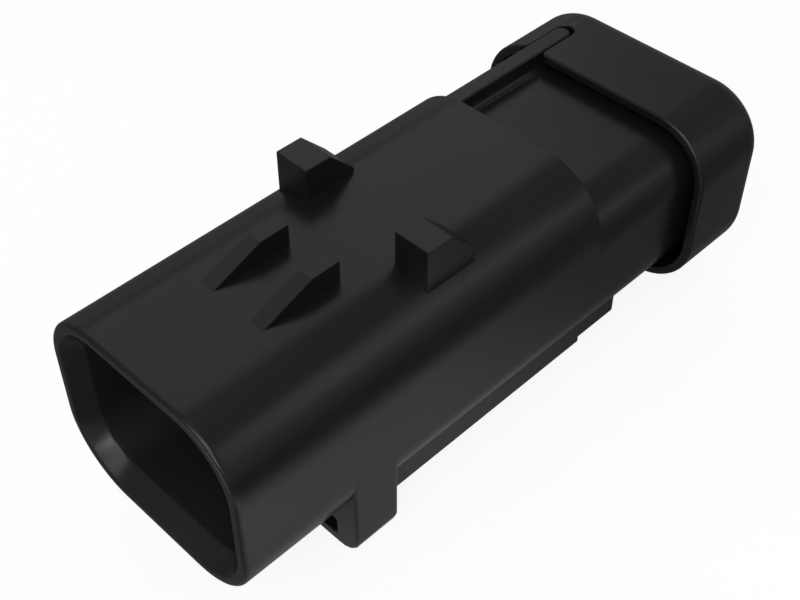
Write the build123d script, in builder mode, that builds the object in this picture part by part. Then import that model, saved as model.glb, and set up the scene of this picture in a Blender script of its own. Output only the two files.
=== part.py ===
from build123d import *
import os

# Sealed four-way connector plug, pin half, with its rear cap, wire seal and pin lock.
#
# Millimetres. X runs across the plug, Y from the mouth to the wire end, Z up.
# The origin is under the middle of the plug, level with the foot of the clip bridge.
# Sizes named "..._at" are measured rearward from the mouth.

# Hood: the moulded sleeve that the mating half enters
hood_width = 22.4
hood_height = 19.1
hood_top_radius = 6.3
hood_bottom_radius = 6.5
hood_length = 40.1
hood_depth = 29.0
hood_floor = 2.0
side_wall = 2.1
floor_wall = 2.45
roof_wall = 2.3
bore_radius = 4.1
rim_width = 0.95
rim_bevel = 0.25
lead_depth = 1.6

# Latch blocks and lead-in ramps on the roof of the hood
block_gap = 9.95
block_width = 3.6
block_height = 2.95
block_front_at = 21.6
block_flat = 2.65
block_slope = 2.55
block_drop = 2.6
ramp_spread = 7.2
ramp_width = 1.43
ramp_height = 1.9
ramp_tip_at = 9.45
ramp_rise = 5.0
ramp_flat = 2.75
root_depth = 2.0

# Clip bridge under the hood with its slot, and the two clip rails behind it
bridge_at = 11.05
bridge_length = 4.75
bridge_drop = 3.7
bridge_radius = 2.1
bridge_bar = 1.2
slot_width = 17.4
slot_height = 1.85
rail_width = 1.55
rail_step = 0.6
rail_tail = 4.9

# Rear body: lower than the hood on top, flush with it at the sides
step_drop = 3.3
rear_height = 15.0
rear_top_radius = 4.4
rear_bottom_radius = 4.6
rear_length = 20.2
rear_wall = 1.6

# Guide rib for the rear cap
rib_width = 1.65
rib_offset = 7.5
rib_length = 17.2
rib_root = 0.5
rib_edge = 0.18

# Rear cap
cap_wall = 0.9
cap_gap = 0.8
cap_radius = 5.8
cap_back = 1.5
cap_end_gap = 0.3
cap_length = 9.65
cap_rear_rounding = 2.3
cap_edge = 0.2
cap_mouth_rounding = 0.9
cap_slot_clearance = 0.14
cap_slot_end_gap = 0.6
pad_width = 1.4
pad_length = 5.0
pad_clearance = 0.05
pad_pitch = 6.0
wire_hole_radius = 2.1
pusher_depth = 2.0
pusher_clearance = 0.3

# Contacts: turned pins of 1.57 mm, two by two
pitch_x = 7.0
pitch_z = 5.8
pin_radius = 0.785
pin_reach = 9.0
pin_nose = 0.5
shank_radius = 1.0
flange_radius = 1.5
flange_length = 1.2
barrel_radius = 1.3
barrel_seal_gap = 3.2

# Fit between the contacts and their cavities in the housing
shank_clearance = 0.12
cavity_clearance = 0.1

# Wire seal
seal_front_at = 46.2
seal_front_gap = 0.2
seal_rear_gap = 0.1
seal_web_gap = 0.45
seal_rib_gap = 0.05
seal_rib_count = 3
seal_rib_width = 1.4
seal_hole_radius = 1.0

# Pin lock: slides on the floor of the hood and blocks the contacts
lock_thickness = 4.5
lock_clearance = 0.15
lock_hole_clearance = 0.3
leg_width = 4.0
leg_thickness = 1.2
leg_inset = 1.05
leg_length = 5.5
leg_clearance = 0.1
leg_spare = 0.5
tool_slot_width = 4.0
tool_slot_height = 1.6
tool_slot_depth = 2.5

# Levels and stations worked out from the sizes above
hood_bottom = bridge_drop
hood_top = hood_bottom + hood_height
rear_top = hood_top - step_drop
rear_bottom = rear_top - rear_height
contact_level = (rear_top + rear_bottom) / 2
bore_bottom = hood_bottom + floor_wall
bore_top = hood_top - roof_wall
bore_width = hood_width - 2 * side_wall
bridge_end_at = bridge_at + bridge_length
rear_end_at = hood_length + rear_length
rib_end_at = hood_length + rib_length
cap_inner_at = rear_end_at + cap_end_gap
cap_rear_at = cap_inner_at + cap_back
cap_front_at = cap_rear_at - cap_length
cap_width = hood_width + 2 * (cap_gap + cap_wall)
cap_top = rear_top + cap_gap + cap_wall
cap_bottom = rear_bottom - cap_gap - cap_wall
flange_at = hood_depth + hood_floor
barrel_end_at = seal_front_at - barrel_seal_gap
seal_cavity_at = seal_front_at - seal_front_gap
pusher_at = cap_inner_at - pusher_depth
seal_rear_at = pusher_at - seal_rear_gap
seal_length = seal_rear_at - seal_front_at
lock_front_at = hood_depth - lock_thickness
pin_tip_at = lock_front_at - pin_reach
leg_offset = bore_width / 2 - leg_inset - leg_thickness / 2
leg_level = (bore_bottom + bore_top) / 2
mouth = -cap_rear_at / 2
contact_points = [
    (side * pitch_x / 2, contact_level + row * pitch_z / 2) for row in (1, -1) for side in (-1, 1)
]


def across(station):
    """Plane square to the plug at a station; a negative extrusion from it runs rearward."""
    return Plane.XZ.offset(-(mouth + station))


def outline(inset, width, bottom, top, bottom_radius, top_radius):
    """Upright rounded rectangle, drawn inward all round by the inset."""
    with BuildSketch() as shape:
        with Locations((0, (bottom + top) / 2)):
            Rectangle(width - 2 * inset, top - bottom - 2 * inset)
        fillet(shape.vertices().group_by(Axis.Y)[-1], top_radius - inset)
        fillet(shape.vertices().group_by(Axis.Y)[0], bottom_radius - inset)
    return shape.sketch


def hood_outline(inset=0):
    return outline(inset, hood_width, hood_bottom, hood_top, hood_bottom_radius, hood_top_radius)


def waist_outline():
    return outline(0, hood_width, rear_bottom, hood_top, rear_bottom_radius, hood_top_radius)


def rear_outline(inset=0):
    return outline(inset, hood_width, rear_bottom, rear_top, rear_bottom_radius, rear_top_radius)


def bore_outline(inset=0):
    return outline(inset, bore_width, bore_bottom, bore_top, bore_radius, bore_radius)


def cap_outline(inset=0):
    return outline(inset, cap_width, cap_bottom, cap_top, cap_radius, cap_radius)


os.makedirs("parts", exist_ok=True)

# Housing: hood, clip bridge, rails and rear body in one moulding
with BuildPart() as housing:
    with BuildSketch(across(0)):
        add(hood_outline())
    extrude(amount=-bridge_end_at)
    chamfer(housing.faces().sort_by(Axis.Y)[0].edges(), rim_bevel)
    with BuildSketch(across(bridge_end_at)):
        add(waist_outline())
    extrude(amount=bridge_end_at - hood_length)
    with BuildSketch(across(hood_length)):
        add(rear_outline())
    extrude(amount=-rear_length)

    # Clip bridge: a bar across the foot of the hood, with a through slot above it
    with BuildSketch(across(bridge_at)) as bridge:
        bridge_rise = hood_bottom + hood_bottom_radius
        with Locations((0, bridge_rise / 2)):
            Rectangle(hood_width, bridge_rise)
        fillet(bridge.vertices().group_by(Axis.Y)[0], bridge_radius)
        with Locations((0, bridge_bar + slot_height / 2)):
            Rectangle(slot_width, slot_height, mode=Mode.SUBTRACT)
    extrude(amount=-bridge_length)

    # Clip rails: in line with the sides of the slot, one step shallower behind the hood
    rail_rise = rear_bottom_radius / 2
    for side in (-1, 1):
        rail_middle = side * (slot_width + rail_width) / 2
        with BuildSketch(across(bridge_end_at)):
            with Locations((rail_middle, hood_bottom + rail_rise / 2)):
                Rectangle(rail_width, rail_rise)
        extrude(amount=bridge_end_at - hood_length)
        with BuildSketch(across(hood_length)):
            with Locations((rail_middle, hood_bottom + (rail_step + rail_rise) / 2)):
                Rectangle(rail_width, rail_rise - rail_step)
        extrude(amount=-rail_tail)

    # Latch blocks: square in front, sloping down behind
    block_front = mouth + block_front_at
    block_crest = hood_top + block_height
    block_rear = block_front + block_flat + block_slope
    for inner_side in (-block_gap / 2 - block_width, block_gap / 2):
        with BuildSketch(Plane.YZ.offset(inner_side)):
            with BuildLine():
                Polyline(
                    (block_front, hood_top - root_depth),
                    (block_front, block_crest),
                    (block_front + block_flat, block_crest),
                    (block_rear, block_crest - block_drop),
                    (block_rear, hood_top - root_depth),
                    close=True,
                )
            make_face()
        extrude(amount=block_width)

    # Ramps: rise from the roof, run flat, and end square
    ramp_tip = mouth + ramp_tip_at
    ramp_crease = ramp_tip + ramp_rise
    ramp_end = ramp_crease + ramp_flat
    for inner_side in (-ramp_spread / 2, ramp_spread / 2 - ramp_width):
        with BuildSketch(Plane.YZ.offset(inner_side)):
            with BuildLine():
                Polyline(
                    (ramp_tip, hood_top - root_depth),
                    (ramp_tip, hood_top),
                    (ramp_crease, hood_top + ramp_height),
                    (ramp_end, hood_top + ramp_height),
                    (ramp_end, hood_top - root_depth),
                    close=True,
                )
            make_face()
        extrude(amount=ramp_width)

    # Guide rib: runs back from the hood and ends round, with a filleted root
    rib_start = mouth + hood_length - root_depth
    rib_end = mouth + rib_end_at - rib_width / 2
    with BuildSketch(Plane.XY.offset(rear_top - root_depth)):
        with Locations((-rib_offset, (rib_start + rib_end) / 2)):
            Rectangle(rib_width, rib_end - rib_start)
        with Locations((-rib_offset, rib_end)):
            Circle(rib_width / 2)
    extrude(amount=root_depth + cap_top - rear_top)
    behind_hood = mouth + hood_length + rib_edge
    rib_reach = rib_width / 2 + rib_edge / 2
    rib_edges = housing.edges().filter_by(
        lambda edge: abs(edge.center().X + rib_offset) < rib_reach and edge.center().Y > behind_hood
    )
    fillet(rib_edges.filter_by_position(Axis.Z, rear_top - rib_root, rear_top + rib_edge), rib_root)
    chamfer(rib_edges.filter_by_position(Axis.Z, cap_top - rib_edge, cap_top + rib_edge), rib_edge)

    # Bore of the hood, opened out at the rim by a lead-in
    with BuildSketch(across(0)):
        add(hood_outline(rim_width))
    with BuildSketch(across(lead_depth)):
        add(bore_outline())
    loft(mode=Mode.SUBTRACT)
    with BuildSketch(across(lead_depth)):
        add(bore_outline())
    extrude(amount=lead_depth - hood_depth, mode=Mode.SUBTRACT)

    # Contact cavities: a hole for the shank, then a wider bore with a seat for the flange
    cavity_steps = [
        (hood_depth, flange_at, shank_radius + shank_clearance),
        (flange_at, seal_cavity_at, flange_radius + cavity_clearance),
    ]
    for start, end, radius in cavity_steps:
        with BuildSketch(across(start)):
            with Locations(*contact_points):
                Circle(radius)
        extrude(amount=start - end, mode=Mode.SUBTRACT)

    # Seal cavity, open at the wire end
    with BuildSketch(across(seal_cavity_at)):
        add(rear_outline(rear_wall))
    extrude(amount=seal_cavity_at - rear_end_at, mode=Mode.SUBTRACT)

    # Guide pockets for the legs of the pin lock
    with BuildSketch(across(hood_depth)):
        with Locations((-leg_offset, leg_level), (leg_offset, leg_level)):
            Rectangle(leg_thickness + 2 * leg_clearance, leg_width + 2 * leg_clearance)
    extrude(amount=-leg_length - leg_spare, mode=Mode.SUBTRACT)

housing.part.label = "housing"
export_step(housing.part, "parts/housing.step")

# Rear cap: a skirt round the rear body and a back wall with a hole for each wire
with BuildPart() as rear_cap:
    with BuildSketch(across(cap_front_at)):
        add(cap_outline())
    extrude(amount=-cap_length)
    fillet(rear_cap.faces().sort_by(Axis.Y)[-1].edges(), cap_rear_rounding)
    chamfer(rear_cap.faces().sort_by(Axis.Y)[0].edges(), cap_edge)
    with BuildSketch(across(cap_front_at)):
        add(cap_outline(cap_wall))
    extrude(amount=cap_front_at - cap_inner_at, mode=Mode.SUBTRACT)

    # Pads inside the skirt, a close sliding fit on the rear body
    pad_rise = cap_gap - pad_clearance + cap_wall / 2
    pad_shift = rear_height / 2 + pad_clearance + pad_rise / 2
    side_shift = hood_width / 2 + pad_clearance + pad_rise / 2
    with BuildSketch(across(cap_inner_at - pad_length)):
        for place in (-pad_pitch / 2, pad_pitch / 2):
            for way in (-1, 1):
                with Locations((place, contact_level + way * pad_shift)):
                    Rectangle(pad_width, pad_rise)
                with Locations((way * side_shift, contact_level + place)):
                    Rectangle(pad_rise, pad_width)
    extrude(amount=-pad_length)

    # Pusher that holds the seal in its cavity
    with BuildSketch(across(pusher_at)):
        add(rear_outline(rear_wall + pusher_clearance))
    extrude(amount=-pusher_depth)

    with BuildSketch(across(pusher_at)):
        with Locations(*contact_points):
            Circle(wire_hole_radius)
    extrude(amount=pusher_at - cap_rear_at, mode=Mode.SUBTRACT)

    # Slot for the guide rib, flared where it opens at the front
    slot_end = mouth + rib_end_at + cap_slot_end_gap
    slot_span = rib_width + 2 * cap_slot_clearance
    slot_round = slot_end - slot_span / 2
    cap_front = mouth + cap_front_at
    with BuildSketch(Plane.XY.offset(rear_top)) as slot:
        with Locations((-rib_offset, cap_front - cap_mouth_rounding)):
            Rectangle(slot_span + 4 * cap_mouth_rounding, 2 * cap_mouth_rounding)
        with Locations((-rib_offset, (cap_front + slot_round) / 2)):
            Rectangle(slot_span, slot_round - cap_front)
        mouth_corners = slot.vertices().filter_by(
            lambda corner: abs(corner.Y - cap_front) < pad_clearance
            and abs(corner.X + rib_offset) < slot_span
        )
        fillet(mouth_corners, cap_mouth_rounding)
        with Locations((-rib_offset, slot_round)):
            Circle(slot_span / 2)
    extrude(amount=2 * (cap_top - rear_top), mode=Mode.SUBTRACT)

rear_cap.part.label = "rear_cap"
export_step(rear_cap.part, "parts/rear_cap.step")

# Wire seal: a rubber block with ribs round it and a hole for each wire
with BuildPart() as wire_seal:
    with BuildSketch(across(seal_front_at)):
        add(rear_outline(rear_wall + seal_web_gap))
    extrude(amount=-seal_length)
    seal_rib_pitch = seal_length / seal_rib_count
    for index in range(seal_rib_count):
        rib_middle_at = seal_front_at + (index + 0.5) * seal_rib_pitch
        with BuildSketch(across(rib_middle_at - seal_rib_width / 2)):
            add(rear_outline(rear_wall + seal_rib_gap))
        extrude(amount=-seal_rib_width)
    with BuildSketch(across(seal_front_at)):
        with Locations(*contact_points):
            Circle(seal_hole_radius)
    extrude(amount=-seal_length, mode=Mode.SUBTRACT)

wire_seal.part.label = "wire_seal"
export_step(wire_seal.part, "parts/wire_seal.step")

# Pin lock: a plate that fits the bore, with a hole for each pin and two guide legs
with BuildPart() as pin_lock:
    with BuildSketch(across(lock_front_at)):
        add(bore_outline(lock_clearance))
    extrude(amount=-lock_thickness)
    with BuildSketch(across(lock_front_at)):
        with Locations(*contact_points):
            Circle(shank_radius + lock_hole_clearance)
    extrude(amount=-lock_thickness, mode=Mode.SUBTRACT)
    with BuildSketch(across(lock_front_at)):
        with Locations((0, contact_level)):
            Rectangle(tool_slot_width, tool_slot_height)
    extrude(amount=-tool_slot_depth, mode=Mode.SUBTRACT)
    with BuildSketch(across(hood_depth)):
        with Locations((-leg_offset, leg_level), (leg_offset, leg_level)):
            Rectangle(leg_thickness, leg_width)
    extrude(amount=-leg_length)

pin_lock.part.label = "pin_lock"
export_step(pin_lock.part, "parts/pin_lock.step")

# Contacts: each turned from rod, with a pin, a thicker shank in the lock, a flange and a barrel
for number, (contact_x, contact_z) in enumerate(contact_points, start=1):
    centre_line = Plane(origin=(contact_x, mouth, contact_z), x_dir=(0, 1, 0), z_dir=(1, 0, 0))
    with BuildPart() as contact:
        with BuildSketch(centre_line):
            with BuildLine():
                Polyline(
                    (pin_tip_at, 0),
                    (pin_tip_at, pin_radius - pin_nose),
                    (pin_tip_at + pin_nose, pin_radius),
                    (lock_front_at, pin_radius),
                    (lock_front_at, shank_radius),
                    (flange_at, shank_radius),
                    (flange_at, flange_radius),
                    (flange_at + flange_length, flange_radius),
                    (flange_at + flange_length, barrel_radius),
                    (barrel_end_at, barrel_radius),
                    (barrel_end_at, 0),
                    close=True,
                )
            make_face()
        revolve(axis=Axis((contact_x, 0, contact_z), (0, 1, 0)))
    contact.part.label = f"pin_contact_{number}"
    export_step(contact.part, f"parts/pin_contact_{number}.step")
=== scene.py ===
import math

import bmesh
import bpy
import numpy as np
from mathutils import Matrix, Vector


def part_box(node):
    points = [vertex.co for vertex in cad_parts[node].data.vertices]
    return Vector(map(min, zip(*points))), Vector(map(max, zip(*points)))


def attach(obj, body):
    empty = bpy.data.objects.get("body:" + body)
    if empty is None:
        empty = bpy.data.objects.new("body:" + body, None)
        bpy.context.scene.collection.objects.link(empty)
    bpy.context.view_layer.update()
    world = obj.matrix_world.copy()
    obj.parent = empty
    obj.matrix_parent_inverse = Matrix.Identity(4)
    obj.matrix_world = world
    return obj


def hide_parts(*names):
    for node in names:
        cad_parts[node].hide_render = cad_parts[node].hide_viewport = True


# Sealed four-way connector plug, pin half, with its rear cap on and no wires fitted.
# Sizes are in millimetres and the meshes in metres. A size named "..._at" is measured rearward
# from the mouth of the hood, and heights are measured up from the foot of the clip bridge.
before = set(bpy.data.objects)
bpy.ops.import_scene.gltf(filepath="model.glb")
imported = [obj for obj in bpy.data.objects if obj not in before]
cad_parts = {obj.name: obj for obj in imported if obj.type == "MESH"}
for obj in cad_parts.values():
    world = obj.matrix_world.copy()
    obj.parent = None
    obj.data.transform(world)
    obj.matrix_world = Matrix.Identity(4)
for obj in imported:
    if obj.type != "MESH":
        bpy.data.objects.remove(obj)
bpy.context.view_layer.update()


# Housing: one moulding in black glass-filled nylon with a satin spark-eroded skin.
# The hood is the deep sleeve that the mating half enters, and the lower body behind it holds
# the contacts and the wire seal. Ramps, blocks, clip bridge, rails and rib are moulded on.
MILLIMETRE = 0.001
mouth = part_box("housing")[0].y / MILLIMETRE

hood_section = dict(half_width=11.2, bottom=3.7, top=22.8, low_radius=6.5, high_radius=6.3)
waist_section = dict(half_width=11.2, bottom=4.5, top=22.8, low_radius=4.6, high_radius=6.3)
rear_section = dict(half_width=11.2, bottom=4.5, top=19.5, low_radius=4.6, high_radius=4.4)
bore_section = dict(half_width=9.1, bottom=6.15, top=20.5, low_radius=4.1, high_radius=4.1)
bridge_section = dict(half_width=11.2, bottom=0.0, top=22.8, low_radius=2.1, high_radius=6.3)

quarter = np.linspace(0, math.pi / 2, 25)
corner_starts = np.radians([-90, 0, 90, 180])[:, None]


def outline(section, inset=0.0, flats=()):
    """Points of an upright rounded rectangle: the centre of each corner, plus its radius times
    the direction turned through a quarter circle. Flats are more points, that far along the
    straight edges from each corner. The inset moves every point straight inwards."""
    low, high = section["low_radius"], section["high_radius"]
    radius = np.array([low, high, high, low])[:, None]
    middle_x = np.array([1, 1, -1, -1])[:, None] * (section["half_width"] - radius)
    middle_z = np.array([section["bottom"] + low, section["top"] - high,
                         section["top"] - high, section["bottom"] + low])[:, None]
    flats = np.array(flats)
    angle = corner_starts + np.concatenate((flats * 0, quarter, flats * 0 + quarter[-1]))
    slip = np.concatenate((-flats[::-1], quarter * 0, flats))
    x = middle_x + (radius - inset) * np.cos(angle) - slip * np.sin(angle)
    z = middle_z + (radius - inset) * np.sin(angle) + slip * np.cos(angle)
    return np.stack([x, z], axis=-1).reshape(-1, 2)


def ring(at, points):
    """An outline stood up square to the plug: x and z of the outline, y measured from the mouth."""
    return np.stack([points[:, 0], mouth + np.broadcast_to(at, len(points)), points[:, 1]], axis=-1)


def solid(name, rings, edge=0.0):
    """Closed surface on a grid: one parameter picks the ring and the other the point along it,
    four neighbours make a face, and a flat face closes the first ring and the last one.
    With an edge size the sharp edges are rounded by a bevel."""
    grid = np.array(rings) * MILLIMETRE
    rows, columns = grid.shape[:2]
    row, column = np.meshgrid(np.arange(rows - 1), np.arange(columns), indexing="ij")
    beside = (column + 1) % columns
    corners = [row * columns + column, (row + 1) * columns + column,
               (row + 1) * columns + beside, row * columns + beside]
    ends = np.arange(rows * columns).reshape(rows, columns)[[0, -1]]
    faces = np.stack(corners, axis=-1).reshape(-1, 4).tolist() + ends.tolist()
    mesh = bpy.data.meshes.new(name)
    mesh.from_pydata(grid.reshape(-1, 3).tolist(), [], faces)
    shell = bmesh.new()
    shell.from_mesh(mesh)
    bmesh.ops.remove_doubles(shell, verts=shell.verts, dist=1e-7)
    bmesh.ops.dissolve_degenerate(shell, edges=shell.edges, dist=1e-7)
    bmesh.ops.recalc_face_normals(shell, faces=shell.faces)
    shell.to_mesh(mesh)
    shell.free()
    piece = bpy.data.objects.new(name, mesh)
    bpy.context.scene.collection.objects.link(piece)
    if edge:
        bevel = piece.modifiers.new("edge", "BEVEL")
        bevel.width, bevel.segments, bevel.limit_method = edge * MILLIMETRE, 6, "ANGLE"
    return piece


def moulded(piece, additions=(), cuts=(), smooth_below=18):
    """Joins the additions to the piece, takes the cuts out, and keeps the result as one mesh,
    smooth where its faces meet at less than the given angle in degrees, its flats left flat."""
    jobs = [(tool, "UNION") for tool in additions] + [(tool, "DIFFERENCE") for tool in cuts]
    for tool, operation in jobs:
        work = piece.modifiers.new(tool.name, "BOOLEAN")
        work.object, work.operation, work.solver = tool, operation, "EXACT"
    for weighted in (False, True):
        if weighted:
            piece.data.shade_smooth()
            piece.data.set_sharp_from_angle(angle=math.radians(smooth_below))
            piece.modifiers.new("flats", "WEIGHTED_NORMAL").keep_sharp = True
        evaluated = piece.evaluated_get(bpy.context.evaluated_depsgraph_get())
        mesh = bpy.data.meshes.new_from_object(evaluated)
        piece.modifiers.clear()
        piece.data = mesh
    piece.data.name = piece.name
    for tool, _ in jobs:
        bpy.data.objects.remove(tool)
    return piece


def rounding(size, steps=7):
    """Quarter circle over an edge, as pairs of (how far in, how far along)."""
    swing = np.linspace(0, math.pi / 2, steps)
    return list(zip(size * (1 - np.sin(swing)), size * (1 - np.cos(swing))))


def reach(points, directions, section, inset=0.0, nearest=-4.0, furthest=6.0):
    """How far each point goes in its direction to stand on a section's outline: the signed
    distance to the rounded rectangle is brought to nought by halving the span that holds it."""
    near, far = np.full(len(points), nearest), np.full(len(points), furthest)
    middle = (section["bottom"] + section["top"]) / 2
    for _ in range(40):
        half_way = (near + far) / 2
        x, z = (points + directions * half_way[:, None]).T
        radius = np.where(z < middle, section["low_radius"], section["high_radius"])
        out_x = np.abs(x) - (section["half_width"] - radius)
        out_z = np.where(z < middle, section["bottom"] + radius - z, z - section["top"] + radius)
        corner = np.hypot(np.maximum(out_x, 0), np.maximum(out_z, 0))
        inside = corner + np.minimum(np.maximum(out_x, out_z), 0) - radius + inset < 0
        near, far = np.where(inside, half_way, near), np.where(inside, far, half_way)
    return near


# The skin is one closed surface, from the floor of the bore out over the rim, along the outside
# and into the seal cavity. Outside, every ring is the hood's outline moved along its own
# directions, so that an edge rounding dies out where two sections run together.
bore_depth = 29.0
lead_depth = 1.6
rim_width = 1.0
rim_edge = 0.42
rim_run = 0.15
lip_ease, lip_ease_share = 0.16, 0.1
lead_ease, lead_ease_share = 0.14, 0.08
bore_run = 0.9
bridge_at, bridge_end_at = 11.05, 15.8
bridge_edge = 0.3
hood_end_at = 40.1
step_edge = 0.08
rear_end_at = 60.3
rear_edge = 0.15
seal_cavity_at = 46.0
rear_wall = 1.6
flats = (0.35, 0.7, 1.05, 1.4)

hood = outline(hood_section, flats=flats)
away = hood - outline(hood_section, inset=1.0, flats=flats)
bore = outline(bore_section, flats=flats)
to_waist = reach(hood, away, waist_section)
to_rear = reach(hood, away, rear_section)


def outer_ring(at, distance=0.0):
    """The hood's outline at a station, each point moved outwards by its distance."""
    return ring(at, hood + away * np.broadcast_to(distance, len(hood))[:, None])


def lead_ring(share):
    """A ring of the lead-in: a share of the way along the straight line from bore to rim."""
    return (1 - share) * ring(lead_depth, bore) + share * outer_ring(0.0, -rim_width)


def eased(before, corner, after, steps=6):
    """Rings that round a corner: the quadratic curve from the ring before to the ring after,
    (1-t)^2 before + 2t(1-t) corner + t^2 after."""
    return [(1 - t)**2 * before + 2 * t * (1 - t) * corner + t**2 * after
            for t in np.linspace(0, 1, steps)]


skin = [ring(bore_depth, bore), ring(lead_depth + bore_run, bore)]
skin += eased(ring(lead_depth + lead_ease, bore), lead_ring(0.0), lead_ring(lead_ease_share))
skin += [lead_ring(0.5)]
skin += eased(lead_ring(1 - lip_ease_share), lead_ring(1.0), outer_ring(0.0, -rim_width + lip_ease))
skin += [outer_ring(along, -inset) for inset, along in rounding(rim_edge, 9)]
skin += [outer_ring(rim_edge + rim_run), outer_ring(bridge_at)]
for inset, along in rounding(bridge_edge):
    skin.append(outer_ring(bridge_at + along, np.maximum(0, reach(hood, away, bridge_section, inset))))
for inset, along in rounding(bridge_edge)[::-1]:
    grown = np.maximum(to_waist, reach(hood, away, bridge_section, inset))
    skin.append(outer_ring(bridge_end_at - along, grown))
skin += [outer_ring(bridge_end_at, to_waist)]
for inset, along in rounding(step_edge)[::-1]:
    shrunk = np.maximum(to_rear, reach(hood, away, waist_section, inset))
    skin.append(outer_ring(hood_end_at - along, shrunk))
skin += [outer_ring(hood_end_at, to_rear)]
for inset, along in rounding(rear_edge)[::-1]:
    skin.append(outer_ring(rear_end_at - along, reach(hood, away, rear_section, inset)))
for along, inset in rounding(rear_edge):
    skin.append(ring(rear_end_at - along, outline(rear_section, rear_wall - inset, flats)))
skin.append(ring(seal_cavity_at, outline(rear_section, rear_wall, flats)))
housing = solid("plug_housing", skin)


def prism(name, profile, x_from, x_to, edge):
    """A side profile of (station, height) corners carried straight across from one x to the other."""
    corners = np.array(profile)
    across = [np.stack([np.full(len(corners), x), mouth + corners[:, 0], corners[:, 1]], axis=-1)
              for x in (x_from, x_to)]
    return solid(name, across, edge)


# Ramps and blocks for the latch, and the rails behind the bridge: crisp-edged bars, each with
# its foot sunk in the wall.
roof = hood_section["top"]
foot = roof - 2.0
ramp_tip_at, ramp_crest_at, ramp_end_at = 9.45, 14.45, 17.2
ramp_height = 1.9
ramp_inner, ramp_outer = 2.17, 3.6
ramp_slope = ramp_height / (ramp_crest_at - ramp_tip_at)
sunk_tip_at = ramp_tip_at - (roof - foot) / ramp_slope
ramp_profile = [(sunk_tip_at, foot), (ramp_crest_at, roof + ramp_height),
                (ramp_end_at, roof + ramp_height), (ramp_end_at, foot)]
block_at, block_crest_at, block_end_at = 21.6, 24.25, 26.8
block_crest, block_tail = roof + 2.95, roof + 0.35
block_inner, block_outer = 4.975, 8.575
block_profile = [(block_at, foot), (block_at, block_crest), (block_crest_at, block_crest),
                 (block_end_at, block_tail), (block_end_at, foot)]
rail_inner, rail_outer = 8.7, 10.25
rail_bottom, rail_step_up, rail_top = 3.7, 0.6, 6.4
rail_end_at = 45.0
rail_profile = [(bridge_end_at - 1, rail_bottom), (hood_end_at, rail_bottom),
                (hood_end_at, rail_bottom + rail_step_up), (rail_end_at, rail_bottom + rail_step_up),
                (rail_end_at, rail_top), (bridge_end_at - 1, rail_top)]
bars = []
for side in (-1, 1):
    bars.append(prism("ramp", ramp_profile, side * ramp_inner, side * ramp_outer, 0.06))
    bars.append(prism("block", block_profile, side * block_inner, side * block_outer, 0.1))
    bars.append(prism("rail", rail_profile, side * rail_inner, side * rail_outer, 0.12))

# Guide rib for the slot of the cap: a bar with a round end, a rounded top edge, and a root
# fillet that follows the shoulder of the rear body.
rib_x = -7.5
rib_half = 0.825
rib_start_at, rib_round_at = 38.1, 56.475
rib_top = 21.2
rib_root, rib_edge = 0.7, 0.18
rib_sunk = 18.3


def bar_plan(half, start_at, round_at, middle_x):
    """A bar seen from above, as x and station: straight sides and a half circle at the rear."""
    swing = np.linspace(0, math.pi, 33)
    x = np.concatenate(([half, half], half * np.cos(swing), [-half, -half])) + middle_x
    at = np.concatenate(([start_at, round_at - 0.1], round_at + half * np.sin(swing),
                         [round_at - 0.1, start_at]))
    return x, at


def shoulder(x, section):
    """Height of a section's roof over x: level, then down the quarter circle of its corner."""
    radius = section["high_radius"]
    out = np.clip(np.abs(x) - (section["half_width"] - radius), 0, radius)
    return section["top"] - radius + np.sqrt(radius**2 - out**2)


def plan_ring(half, height, start_at=rib_start_at, round_at=rib_round_at, section=None):
    """One ring of a bar: its plan, at a level height or at a height over a section's roof."""
    x, at = bar_plan(half, start_at, round_at, rib_x)
    base = 0.0 if section is None else shoulder(x, section)
    return np.stack([x, mouth + at, base + np.broadcast_to(height, len(x))], axis=-1)


rib_rings = [plan_ring(rib_half + rib_root + 0.06, rib_sunk),
             plan_ring(rib_half + rib_root + 0.06, -0.03, section=rear_section)]
for inset, rise in rounding(rib_root, 7):
    rib_rings.append(plan_ring(rib_half + inset, rise, section=rear_section))
for drop, inset in rounding(rib_edge):
    rib_rings.append(plan_ring(rib_half - inset, rib_top - drop))
rib = solid("rib", rib_rings)


def circle(middle_x, middle_z, radius, steps=64):
    """Points round a circle in the X-Z plane."""
    swing = np.linspace(0, 2 * math.pi, steps, endpoint=False)
    return np.stack([middle_x + radius * np.cos(swing), middle_z + radius * np.sin(swing)], axis=-1)


def bar_section(middle_x, middle_z, width, height, radius):
    """Points of a small rounded rectangle round its middle."""
    section = dict(half_width=width / 2, bottom=middle_z - height / 2, top=middle_z + height / 2,
                   low_radius=radius, high_radius=radius)
    return outline(section) + (middle_x, 0)


# Openings: the slot through the bridge with eased ends, a stepped cavity for each contact, and
# the two pockets that guide the legs of the pin lock.
slot_section = dict(half_width=8.7, bottom=1.2, top=3.05, low_radius=0.25, high_radius=0.25)
slot_ease = 0.12
contact_places = [(-3.5, 14.9), (3.5, 14.9), (-3.5, 9.1), (3.5, 9.1)]
leg_x, leg_z = 7.45, 13.325
cuts = [solid("slot", [ring(at, outline(slot_section, inset)) for at, inset in (
    (bridge_at - 0.1, -slot_ease - 0.1), (bridge_at + slot_ease, 0),
    (bridge_end_at - slot_ease, 0), (bridge_end_at + 0.1, -slot_ease - 0.1))])]
for x, z in contact_places:
    cuts.append(solid("cavity", [ring(at, circle(x, z, radius)) for at, radius in (
        (bore_depth - 0.5, 1.12), (31.0, 1.12), (31.0, 1.6), (seal_cavity_at + 0.5, 1.6))]))
for side in (-1, 1):
    pocket = bar_section(side * leg_x, leg_z, 1.4, 4.2, 0.15)
    cuts.append(solid("pocket", [ring(at, pocket) for at in (bore_depth - 0.5, 35.0)]))
moulded(housing, bars + [rib], cuts)


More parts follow.
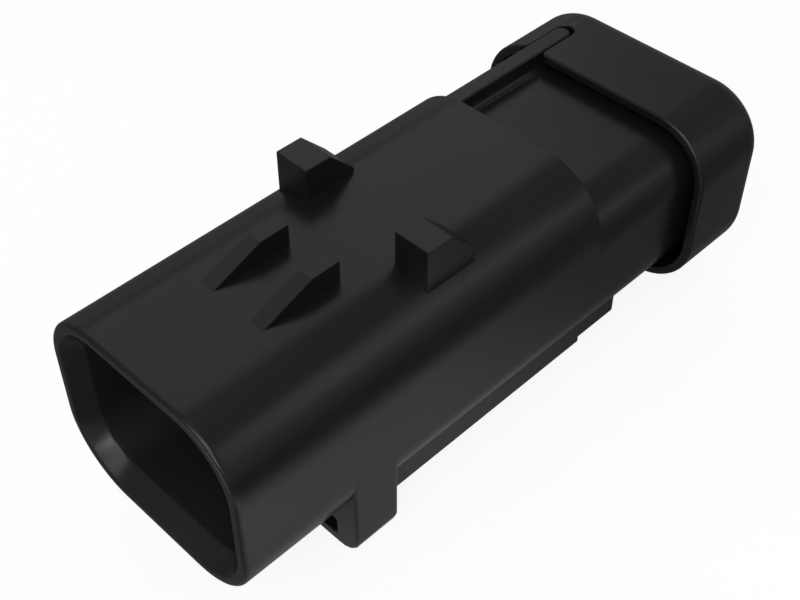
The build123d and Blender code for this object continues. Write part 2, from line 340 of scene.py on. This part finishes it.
def finish_of(name):
    """A new material with nodes, its node tree and its surface shader."""
    material = bpy.data.materials.new(name)
    material.use_nodes = True
    return material, material.node_tree, material.node_tree.nodes["Principled BSDF"]


def noise(tree, size, detail, stretch=(1, 1, 1)):
    """Noise on Object coordinates whose marks are about the given size in millimetres."""
    place = tree.nodes.new("ShaderNodeTexCoord")
    fitted = tree.nodes.new("ShaderNodeMapping")
    fitted.inputs["Scale"].default_value = stretch
    marks = tree.nodes.new("ShaderNodeTexNoise")
    marks.inputs["Scale"].default_value = 1 / (size * MILLIMETRE)
    marks.inputs["Detail"].default_value = detail
    tree.links.new(place.outputs["Object"], fitted.inputs["Vector"])
    tree.links.new(fitted.outputs["Vector"], marks.inputs["Vector"])
    return marks.outputs["Fac"]


def spread(tree, source, low, high):
    """Carries the middle part of a noise, 0.3 to 0.7, on to a range from low to high."""
    carried = tree.nodes.new("ShaderNodeMapRange")
    for socket, value in (("From Min", 0.3), ("From Max", 0.7), ("To Min", low), ("To Max", high)):
        carried.inputs[socket].default_value = value
    tree.links.new(source, carried.inputs["Value"])
    return carried.outputs["Result"]


def blend_colours(tree, source, first, second):
    """Mixes two colours by a factor."""
    mixed = tree.nodes.new("ShaderNodeMix")
    mixed.data_type = "RGBA"
    mixed.inputs["A"].default_value = (*first, 1)
    mixed.inputs["B"].default_value = (*second, 1)
    tree.links.new(source, mixed.inputs["Factor"])
    return mixed.outputs["Result"]


def relief(tree, shader, source, height):
    """Bump of the given height in millimetres, after any bump that the shader already has."""
    bump = tree.nodes.new("ShaderNodeBump")
    bump.inputs["Distance"].default_value = height * MILLIMETRE
    tree.links.new(source, bump.inputs["Height"])
    for link in shader.inputs["Normal"].links:
        tree.links.new(link.from_socket, bump.inputs["Normal"])
    tree.links.new(bump.outputs["Normal"], shader.inputs["Normal"])


def moulding_finish(name, dark, pale, roughness, grain_size, grain_height, sheen_mark=9.0, gloss=0.5):
    """Skin of a moulding: a slow noise drifts between two close colours, a longer one that runs
    with the plastic's flow drifts the roughness, and a fine one is the grain of the tool."""
    material, tree, shader = finish_of(name)
    shader.inputs["Specular IOR Level"].default_value = gloss
    drift = spread(tree, noise(tree, sheen_mark, 4), 0, 1)
    tree.links.new(blend_colours(tree, drift, dark, pale), shader.inputs["Base Color"])
    flow = noise(tree, sheen_mark * 0.6, 3, stretch=(1, 0.25, 1))
    tree.links.new(spread(tree, flow, *roughness), shader.inputs["Roughness"])
    relief(tree, shader, noise(tree, grain_size, 3), grain_height)
    return material


black_nylon = moulding_finish("black_nylon", (0.0058, 0.0058, 0.0062), (0.0074, 0.0074, 0.0078),
                              roughness=(0.25, 0.30), grain_size=0.16, grain_height=0.0009, gloss=0.34)


def matt_inside(material, section, start_at, end_at, rougher):
    """Roughens a skin between two stations, within the ellipse that just misses the outline of
    a section. The bore is taken to be matt, which gives the sheen in its dark mouth."""
    tree = material.node_tree
    roughness = tree.nodes["Principled BSDF"].inputs["Roughness"]
    side_margin, roof_margin = 1.02, 1.04
    half_height = (section["top"] - section["bottom"]) / 2
    scale_x, scale_z = side_margin / section["half_width"], roof_margin / half_height
    place = tree.nodes.new("ShaderNodeTexCoord")
    fitted = tree.nodes.new("ShaderNodeMapping")
    fitted.inputs["Scale"].default_value = (scale_x / MILLIMETRE, 0, scale_z / MILLIMETRE)
    fitted.inputs["Location"].default_value = (0, 0, -scale_z * (section["bottom"] + half_height))
    off_middle = tree.nodes.new("ShaderNodeVectorMath")
    off_middle.operation = "LENGTH"
    inside, between, both, roughened = [tree.nodes.new("ShaderNodeMath") for _ in range(4)]
    inside.operation, between.operation, both.operation = "LESS_THAN", "COMPARE", "MULTIPLY"
    inside.inputs[1].default_value = 1.0
    between.inputs[1].default_value = (mouth + (start_at + end_at) / 2) * MILLIMETRE
    between.inputs[2].default_value = (end_at - start_at) / 2 * MILLIMETRE
    roughened.operation = "MULTIPLY_ADD"
    roughened.inputs[1].default_value = rougher
    parts = tree.nodes.new("ShaderNodeSeparateXYZ")
    tree.links.new(place.outputs["Object"], fitted.inputs["Vector"])
    tree.links.new(fitted.outputs["Vector"], off_middle.inputs[0])
    tree.links.new(off_middle.outputs["Value"], inside.inputs[0])
    tree.links.new(place.outputs["Object"], parts.inputs["Vector"])
    tree.links.new(parts.outputs["Y"], between.inputs[0])
    tree.links.new(inside.outputs["Value"], both.inputs[0])
    tree.links.new(between.outputs["Value"], both.inputs[1])
    tree.links.new(both.outputs["Value"], roughened.inputs[0])
    tree.links.new(roughness.links[0].from_socket, roughened.inputs[2])
    tree.links.new(roughened.outputs["Value"], roughness)


matt_inside(black_nylon, hood_section, lead_depth, bore_depth, rougher=0.3)
housing.data.materials.append(black_nylon)
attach(housing, "body")
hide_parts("housing")


# Contacts: four pins turned from copper alloy rod and nickel plated. Each stands in its cavity
# with its flange against the seat, the pin reaching forward and the crimp barrel rearward.
pin_radius, shank_radius, flange_radius, barrel_radius = 0.785, 1.0, 1.5, 1.3
pin_tip_at, lock_face_at, flange_at, barrel_end_at = 15.5, 24.5, 31.0, 43.0
flange_length = 1.2
nose = 0.5
nose_swing = np.linspace(0, math.pi / 2, 9)
turned_profile = [(pin_tip_at, 0.0)]
turned_profile += zip(pin_tip_at + nose * (1 - np.cos(nose_swing)),
                      pin_radius - nose + nose * np.sin(nose_swing))
turned_profile += [
    (lock_face_at - 0.02, pin_radius), (lock_face_at, pin_radius),
    (lock_face_at, shank_radius - 0.08), (lock_face_at + 0.08, shank_radius),
    (flange_at, shank_radius), (flange_at, flange_radius - 0.1), (flange_at + 0.1, flange_radius),
    (flange_at + flange_length - 0.1, flange_radius), (flange_at + flange_length, flange_radius - 0.1),
    (flange_at + flange_length, barrel_radius), (barrel_end_at - 0.15, barrel_radius),
    (barrel_end_at, barrel_radius - 0.15)]


def nickel_finish():
    """Semi-bright plating over turned metal: fine rings round the pin from the lathe, and a slow
    drift in colour and gloss."""
    material, tree, shader = finish_of("nickel_plate")
    shader.inputs["Metallic"].default_value = 1.0
    drift = spread(tree, noise(tree, 2.5, 3), 0, 1)
    tree.links.new(blend_colours(tree, drift, (0.62, 0.60, 0.56), (0.70, 0.68, 0.64)),
                   shader.inputs["Base Color"])
    lathe = noise(tree, 0.12, 2, stretch=(0.05, 1, 0.05))
    tree.links.new(spread(tree, lathe, 0.2, 0.32), shader.inputs["Roughness"])
    relief(tree, shader, lathe, 0.0012)
    return material


nickel_plate = nickel_finish()
for number, (x, z) in enumerate(contact_places, start=1):
    rings = [ring(at, circle(x, z, max(radius, 0.001), 48)) for at, radius in turned_profile]
    contact = moulded(solid(f"contact_{number}", rings))
    contact.data.materials.append(nickel_plate)
    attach(contact, "body")
    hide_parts(f"pin_contact_{number}")


# Pin lock: a dark grey plate moulded with a hole for each pin, a slot for the tool that draws
# it out, and two legs that run in the pockets of the housing. It stands on the hood's floor.
lock_clearance = 0.15
lock_edge = 0.2
lock_rings = [ring(bore_depth, outline(bore_section, lock_clearance))]
for inset, along in rounding(lock_edge)[::-1]:
    lock_rings.append(ring(lock_face_at + along, outline(bore_section, lock_clearance + inset)))
pin_lock = solid("lock_plate", lock_rings)
legs = []
for side in (-1, 1):
    leg = bar_section(side * leg_x, leg_z, 1.2, 4.0, 0.12)
    legs.append(solid("leg", [ring(at, leg) for at in (bore_depth - 1, 34.5)]))
lock_cuts = []
for x, z in contact_places:
    lock_cuts.append(solid("hole", [ring(at, circle(x, z, radius)) for at, radius in (
        (lock_face_at - 0.1, 1.6), (lock_face_at + 0.2, 1.3), (bore_depth + 0.5, 1.3))]))
tool_slot = bar_section(0, 12.0, 4.0, 1.6, 0.3)
tool_slot_reach = (lock_face_at - 0.5, lock_face_at + 2.5)
lock_cuts.append(solid("tool_slot", [ring(at, tool_slot) for at in tool_slot_reach]))
moulded(pin_lock, legs, lock_cuts)
grey_nylon = moulding_finish("grey_nylon", (0.060, 0.061, 0.065), (0.074, 0.075, 0.080),
                             roughness=(0.42, 0.5), grain_size=0.18, grain_height=0.0012, sheen_mark=5.0)
pin_lock.data.materials.append(grey_nylon)
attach(pin_lock, "lock_body")
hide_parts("pin_lock")


# Wire seal: a block of grey silicone rubber with three rounded ribs round it, which press on
# the cavity, and a hole for each wire. The pusher of the rear cap keeps it in.
seal_at, seal_end_at = 46.2, 58.5
seal_web, seal_crest = 2.05, 1.65
seal_ribs = 3
seal_stations = np.linspace(seal_at, seal_end_at, 61)
wave = np.cos(np.linspace(0, 2 * math.pi * seal_ribs, len(seal_stations)))
seal_insets = seal_web - (seal_web - seal_crest) * np.clip(0.5 - wave * 0.75, 0, 1)
seal_insets[[0, -1]] += 0.25
seal_insets[[1, -2]] += 0.06
wire_seal = solid("rubber_seal", [
    ring(at, outline(rear_section, inset)) for at, inset in zip(seal_stations, seal_insets)])
seal_holes = [solid("hole", [ring(at, circle(x, z, radius)) for at, radius in (
    (seal_at - 0.1, 1.45), (seal_at + 0.3, 1.0), (seal_end_at - 0.3, 1.0), (seal_end_at + 0.1, 1.45))])
    for x, z in contact_places]
moulded(wire_seal, (), seal_holes, smooth_below=50)


def rubber_finish():
    """Matt silicone: a powdery bloom drifts the colour and roughness over a fine dull grain."""
    material, tree, shader = finish_of("grey_silicone")
    shader.inputs["Specular IOR Level"].default_value = 0.35
    bloom = noise(tree, 3.0, 5)
    colour = blend_colours(tree, spread(tree, bloom, 0, 1), (0.15, 0.15, 0.158), (0.185, 0.185, 0.19))
    tree.links.new(colour, shader.inputs["Base Color"])
    tree.links.new(spread(tree, bloom, 0.62, 0.78), shader.inputs["Roughness"])
    relief(tree, shader, noise(tree, 0.1, 4), 0.002)
    return material


wire_seal.data.materials.append(rubber_finish())
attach(wire_seal, "body")
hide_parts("wire_seal")


# Rear cap: a black nylon sleeve that pushes on over the rear body until the rib is at the end
# of its slot. Eight pads inside it grip the body, its pusher holds the seal in, and each wire
# leaves through a hole in its back wall.
cap_section = dict(half_width=12.9, bottom=2.8, top=21.2, low_radius=5.8, high_radius=5.8)
cap_at, cap_inner_at, cap_end_at = 52.45, 60.6, 62.1
cap_wall = 0.9
cap_edge, cap_inner_edge, cap_rear_rounding = 0.32, 0.12, 2.3
cap_rings = [ring(cap_inner_at, outline(cap_section, cap_wall))]
for inset, along in rounding(cap_inner_edge)[::-1]:
    cap_rings.append(ring(cap_at + along, outline(cap_section, cap_wall - inset)))
for inset, along in rounding(cap_edge):
    cap_rings.append(ring(cap_at + along, outline(cap_section, inset)))
for along, inset in rounding(cap_rear_rounding, 17):
    cap_rings.append(ring(cap_end_at - along, outline(cap_section, inset)))
rear_cap = solid("cap_shell", cap_rings)

pusher_at = 58.6
pusher_inset = 1.9
pusher = solid("pusher", [ring(at, outline(rear_section, pusher_inset + inset)) for at, inset in (
    (pusher_at, 0.2), (pusher_at + 0.2, 0), (cap_inner_at + 0.5, 0))])
pads = [pusher]
pad_at, pad_depth, pad_width, pad_spread = 55.6, 1.2, 1.4, 3.0
pad_edge = 0.1
cap_middle, pad_off_x, pad_off_z = 12.0, 11.25, 7.55
for place in (-pad_spread, pad_spread):
    for side in (-1, 1):
        flat_pad = bar_section(place, cap_middle + side * (pad_off_z + pad_depth / 2),
                               pad_width, pad_depth, pad_edge)
        side_pad = bar_section(side * (pad_off_x + pad_depth / 2), cap_middle + place,
                               pad_depth, pad_width, pad_edge)
        for pad in (flat_pad, side_pad):
            pads.append(solid("pad", [ring(at, pad) for at in (pad_at, cap_inner_at + 0.5)]))

# The slot opens out at the front, widely on the left and just broken on the right, and its upper
# edge is eased all round.
slot_half = 0.965
slot_round_at = 56.935
slot_flare_left, slot_flare_right = 0.9, 0.5
slot_edge = 0.12


def slot_plan(out):
    """The slot seen from above, as x and station: it flares where the cap begins, through a
    quarter circle each side, and ends in a half circle. Out widens it all round."""
    curl, swing = np.linspace(0, math.pi / 2, 13), np.linspace(0, math.pi / 2, 17)
    sides = []
    for flare in (slot_flare_right, slot_flare_left):
        flare_x = slot_half + flare - (flare - out) * np.sin(curl)
        flare_at = cap_at + flare - (flare - out) * np.cos(curl)
        x = np.concatenate(([flare_x[0]], flare_x, (slot_half + out) * np.cos(swing)))
        round_end = slot_round_at + (slot_half + out) * np.sin(swing)
        at = np.concatenate(([cap_at - 1.0], flare_at, round_end))
        sides.append((x, at))
    (right_x, right_at), (left_x, left_at) = sides
    x = np.concatenate((right_x, -left_x[:-1][::-1])) + rib_x
    return x, np.concatenate((right_at, left_at[:-1][::-1]))


def slot_ring(out, depth, level=None):
    """One ring of the slot's cutter, at a depth under the cap's roof or at a level height."""
    x, at = slot_plan(out)
    z = shoulder(x, cap_section) - depth if level is None else np.full(len(x), level)
    return np.stack([x, mouth + at, z], axis=-1)


cutter_rings = [slot_ring(0, 0, level=19.8), slot_ring(0, slot_edge)]
for depth, drawn in rounding(slot_edge):
    cutter_rings.append(slot_ring(drawn, depth))
cutter_rings.append(slot_ring(slot_edge + 0.3, 0, level=22.5))
cap_cuts = [solid("cap_slot", cutter_rings)]
wire_hole, hole_rounding, hole_funnel = 2.1, 0.3, 0.45
for x, z in contact_places:
    hole_rings = [ring(pusher_at - 0.3, circle(x, z, wire_hole + hole_funnel)),
                  ring(pusher_at + 0.15, circle(x, z, wire_hole))]
    for along, swell in rounding(hole_rounding):
        hole_rings.append(ring(cap_end_at - along, circle(x, z, wire_hole + swell)))
    hole_rings.append(ring(cap_end_at + 0.4, circle(x, z, wire_hole + hole_rounding)))
    cap_cuts.append(solid("wire_hole", hole_rings))
moulded(rear_cap, pads, cap_cuts)
rear_cap.data.materials.append(black_nylon)
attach(rear_cap, "cap_body")
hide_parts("rear_cap")


# Paper: a wide white sheet that the plug stands on. It shows as white to the lens and keeps
# the plug's soft shadow. A painted pool of light on it, glowing only in reflections, is its middle
# in metres, its reach and its peak.
paper_reach = 3.0
paper_mesh = bpy.data.meshes.new("studio_paper")
paper_mesh.from_pydata([(x * paper_reach, y * paper_reach, 0) for x, y in
                        ((-1, -1), (1, -1), (1, 1), (-1, 1))], [], [(0, 1, 2, 3)])
paper = bpy.data.objects.new("studio_paper", paper_mesh)
bpy.context.scene.collection.objects.link(paper)
shadow_share = 0.2
paper_brightness = 1.1
floor_gloss = 0.135
# Painted pools of light on the paper: emission seen only in the plug's reflections.
painted_light_pools = [((0.023, -0.010, 0), 0.034, 0.33), ((0.020, -0.026, 0), 0.018, 0.15),
               ((0.040, -0.038, 0), 0.030, 1.1), ((0.0, -0.09, 0), 0.05, 2.0),
               ((-0.02, 0.09, 0), 0.04, 0.6)]


def paper_finish():
    """White paper. The lens sees a share of its own shading, with the shadow, over plain white.
    Gloss sees it dim, with painted pools of light round the plug, an emission that shows only in
    its reflections, each at its brightest in the middle and falling off smoothly with the distance."""
    material, tree, shader = finish_of("paper_white")
    shader.inputs["Base Color"].default_value = (0.80, 0.80, 0.80, 1)
    shader.inputs["Roughness"].default_value = 0.9
    shader.inputs["Specular IOR Level"].default_value = 0.1
    path = tree.nodes.new("ShaderNodeLightPath")
    place = tree.nodes.new("ShaderNodeTexCoord")
    gloss = None
    # Painted light: each pool is emission that only glossy rays see, lit by no lamp.
    for middle, reach_out, peak in painted_light_pools:
        off_middle = tree.nodes.new("ShaderNodeVectorMath")
        off_middle.operation = "DISTANCE"
        off_middle.inputs[1].default_value = middle
        tree.links.new(place.outputs["Object"], off_middle.inputs[0])
        fall = tree.nodes.new("ShaderNodeMapRange")
        fall.interpolation_type = "SMOOTHSTEP"
        for socket, value in (("From Max", reach_out), ("To Min", peak), ("To Max", 0)):
            fall.inputs[socket].default_value = value
        tree.links.new(off_middle.outputs["Value"], fall.inputs["Value"])
        total = tree.nodes.new("ShaderNodeMath")
        total.inputs[1].default_value = floor_gloss
        tree.links.new(fall.outputs["Result"], total.inputs[0])
        if gloss:
            tree.links.new(gloss, total.inputs[1])
        gloss = total.outputs["Value"]
    lit = shader.outputs["BSDF"]
    for ray, share in (("Is Camera Ray", 1 - shadow_share), ("Is Glossy Ray", 1.0)):
        plain = tree.nodes.new("ShaderNodeEmission")
        if ray == "Is Glossy Ray":
            tree.links.new(gloss, plain.inputs["Strength"])
        else:
            plain.inputs["Strength"].default_value = paper_brightness
        part = tree.nodes.new("ShaderNodeMath")
        part.operation = "MULTIPLY"
        part.inputs[1].default_value = share
        tree.links.new(path.outputs[ray], part.inputs[0])
        mixed = tree.nodes.new("ShaderNodeMixShader")
        tree.links.new(part.outputs["Value"], mixed.inputs["Fac"])
        tree.links.new(lit, mixed.inputs[1])
        tree.links.new(plain.outputs["Emission"], mixed.inputs[2])
        lit = mixed.outputs["Shader"]
    tree.links.new(lit, tree.nodes["Material Output"].inputs["Surface"])
    return material


paper_mesh.materials.append(paper_finish())


# Room: dim and grey to the plug, which it lights evenly from all round, and white to the lens.
room_strength = 0.38
world = bpy.data.worlds.new("studio_room")
bpy.context.scene.world = world
world.use_nodes = True
tree = world.node_tree
tree.nodes.clear()
room_output = tree.nodes.new("ShaderNodeOutputWorld")
room_light = tree.nodes.new("ShaderNodeBackground")
room_light.inputs["Strength"].default_value = room_strength
room_white = tree.nodes.new("ShaderNodeBackground")
room_white.inputs["Color"].default_value = (1, 1, 1, 1)
room_mix = tree.nodes.new("ShaderNodeMixShader")
room_path = tree.nodes.new("ShaderNodeLightPath")
tree.links.new(room_path.outputs["Is Camera Ray"], room_mix.inputs["Fac"])
tree.links.new(room_light.outputs["Background"], room_mix.inputs[1])
tree.links.new(room_white.outputs["Background"], room_mix.inputs[2])
tree.links.new(room_mix.outputs["Shader"], room_output.inputs["Surface"])



# Lamps: soft boxes at one distance, each given by its direction from the plug, its width and
# height in metres, and the brightness of its face.
lamp_target = Vector((0, 0, 0.014))
lamp_distance = 0.8
lamp_table = [
    ("key", (0.48, -0.80, 0.34), (0.18, 0.18), 8.0),
    ("front_low", (0.12, -0.85, 0.52), (0.6, 0.25), 2.3),
    ("front_high", (0.25, -0.6, 0.76), (0.5, 0.25), 1.9),
    ("near", (0.45, -0.4, 0.8), (0.3, 0.3), 3.3),
    ("right_front", (0.72, -0.6, 0.3), (0.35, 0.35), 0.8),
    ("right_rear", (0.7, 0.42, 0.58), (0.25, 0.3), 0.86),
    ("right_low", (0.74, 0.55, 0.38), (0.35, 0.2), 0.38),
    ("right", (0.95, 0.15, 0.3), (0.3, 0.35), 0.25),
    ("left", (-0.62, 0.2, 0.72), (0.9, 0.45), 0.5),
    ("top", (0.0, 0.05, 1.0), (0.3, 0.3), 0.5),
]
for name, direction, (width, height), brightness in lamp_table:
    light = bpy.data.lights.new(f"lamp_{name}", "AREA")
    light.shape, light.size, light.size_y = "RECTANGLE", width, height
    light.energy = brightness * width * height * math.pi
    lamp = bpy.data.objects.new(f"lamp_{name}", light)
    towards = Vector(direction).normalized()
    lamp.location = lamp_target + towards * lamp_distance
    lamp.rotation_euler = towards.to_track_quat("Z", "Y").to_euler()
    bpy.context.scene.collection.objects.link(lamp)


# Camera: the photograph's view, 45 degrees round to the right of the mouth and 45 degrees up.
camera_data = bpy.data.cameras.new("camera")
camera_data.sensor_width = 36
focal_pixels, image_width = 1323.57, 800
camera_data.lens = focal_pixels * camera_data.sensor_width / image_width
camera_data.clip_start = 0.005
camera = bpy.data.objects.new("camera", camera_data)
camera.location = (0.057746, -0.061629, 0.092622)
camera.rotation_euler = (math.radians(45), 0, math.radians(45))
bpy.context.scene.collection.objects.link(camera)
bpy.context.scene.camera = camera
bpy.context.scene.view_settings.view_transform = "Standard"
